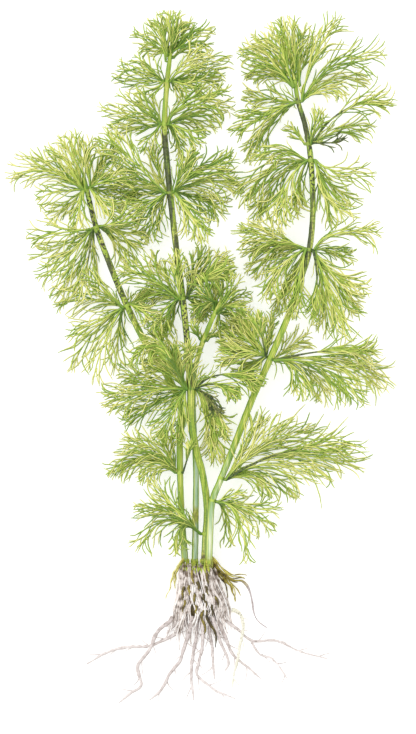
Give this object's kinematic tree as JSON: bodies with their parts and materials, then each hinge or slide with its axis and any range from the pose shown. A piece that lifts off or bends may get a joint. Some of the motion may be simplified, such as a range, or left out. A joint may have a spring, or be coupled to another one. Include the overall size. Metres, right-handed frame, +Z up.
{
  "type": "giant ambulia plant",
  "caption": "Uprooted aquatic plant laid on a surface: tall stems from one crown, whorls of finely divided feathery leaves, and a fan of bare fibrous roots.",
  "frame": {"origin": "on the surface that the plant lies on, under the middle of its box", "axes": "+Y along the plant from the roots to the tips, +Z up from the surface, +X to the right seen from above"},
  "size_m": [0.283, 0.4986, 0.0475],
  "materials": {
    "stem": "satin, moist",
    "pale_stem": "satin, moist",
    "leaf": "satin",
    "young_leaf": "satin",
    "crown": "matt, fibrous",
    "root": "matt",
    "olive_root": "matt"
  },
  "bodies": {
    "root": {"centre_stem": "stem", "left_stem": "stem", "right_stem": "stem", "side_shoot": "pale_stem", "centre_whorl_1": "leaf", "centre_whorl_2": "leaf", "centre_whorl_3": "leaf", "centre_whorl_4": "leaf", "centre_whorl_5": "leaf", "base_leaf": "leaf", "left_top_whorl": "leaf", "left_whorl_2": "leaf", "left_whorl_3": "leaf", "left_whorl_4": "leaf", "right_whorl_1": "leaf", "right_whorl_2": "leaf", "right_whorl_3": "leaf", "right_whorl_4": "leaf", "right_whorl_5": "leaf", "right_whorl_6": "leaf", "right_whorl_7": "leaf", "side_shoot_leaves": "leaf", "centre_top_tuft": "young_leaf", "right_top_tuft": "young_leaf", "side_shoot_tuft": "young_leaf", "root_crown": "crown", "root_left_long": "root", "root_left_outer": "root", "root_left_inner": "root", "root_left_short": "root", "root_middle_left": "root", "root_middle_crossing": "root", "root_middle": "root", "root_right_hooked": "root", "root_right_bowed": "root", "root_right_low": "root", "root_right_long": "root", "root_right_fork": "root", "root_olive_long": "olive_root", "root_olive_stub": "olive_root", "root_yellow": "olive_root"}
  },
  "joints": []
}
